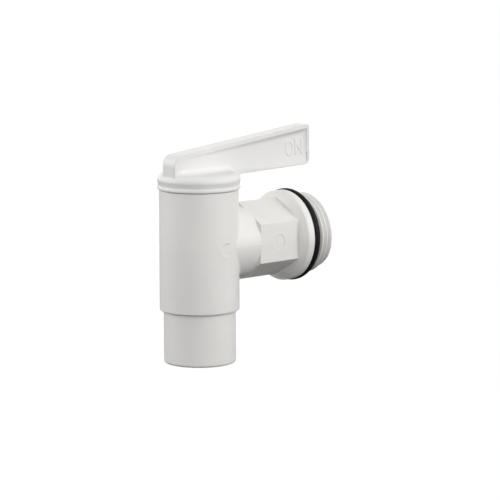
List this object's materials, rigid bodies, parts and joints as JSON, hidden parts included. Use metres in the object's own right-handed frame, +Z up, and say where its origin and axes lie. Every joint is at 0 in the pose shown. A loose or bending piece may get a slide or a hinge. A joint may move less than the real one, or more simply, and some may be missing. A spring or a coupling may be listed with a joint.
{
  "type": "jerrycan tap",
  "caption": "Quarter-turn plastic tap for a jerrycan: threaded inlet with hexagon, flange and rubber ring, upright barrel with spout, and a tapered plug turned by a long lever.",
  "frame": {"origin": "on the inlet's axis where its thread starts, which is the container's face once the rubber ring is squeezed", "axes": "+Y along the inlet into the container, +Z up along the barrel, +X to the side on which the lever is turned to open"},
  "size_m": [0.0303, 0.0601, 0.0737],
  "materials": {
    "body_plastic": "white moulded polypropylene, satin",
    "lever_plastic": "white moulded polypropylene, satin",
    "ring_rubber": "matte black"
  },
  "bodies": {
    "tap_body": {"body": "body_plastic", "inlet_o_ring": "ring_rubber"},
    "lever": {"lever_plug": "lever_plastic"}
  },
  "joints": [
    {"name": "lever_turn", "type": "hinge", "parent": "tap_body", "child": "lever", "pos_m": [0, -0.0396, 0.0184], "axis": [0, 0, 1], "range_deg": [-90, 90]}
  ]
}
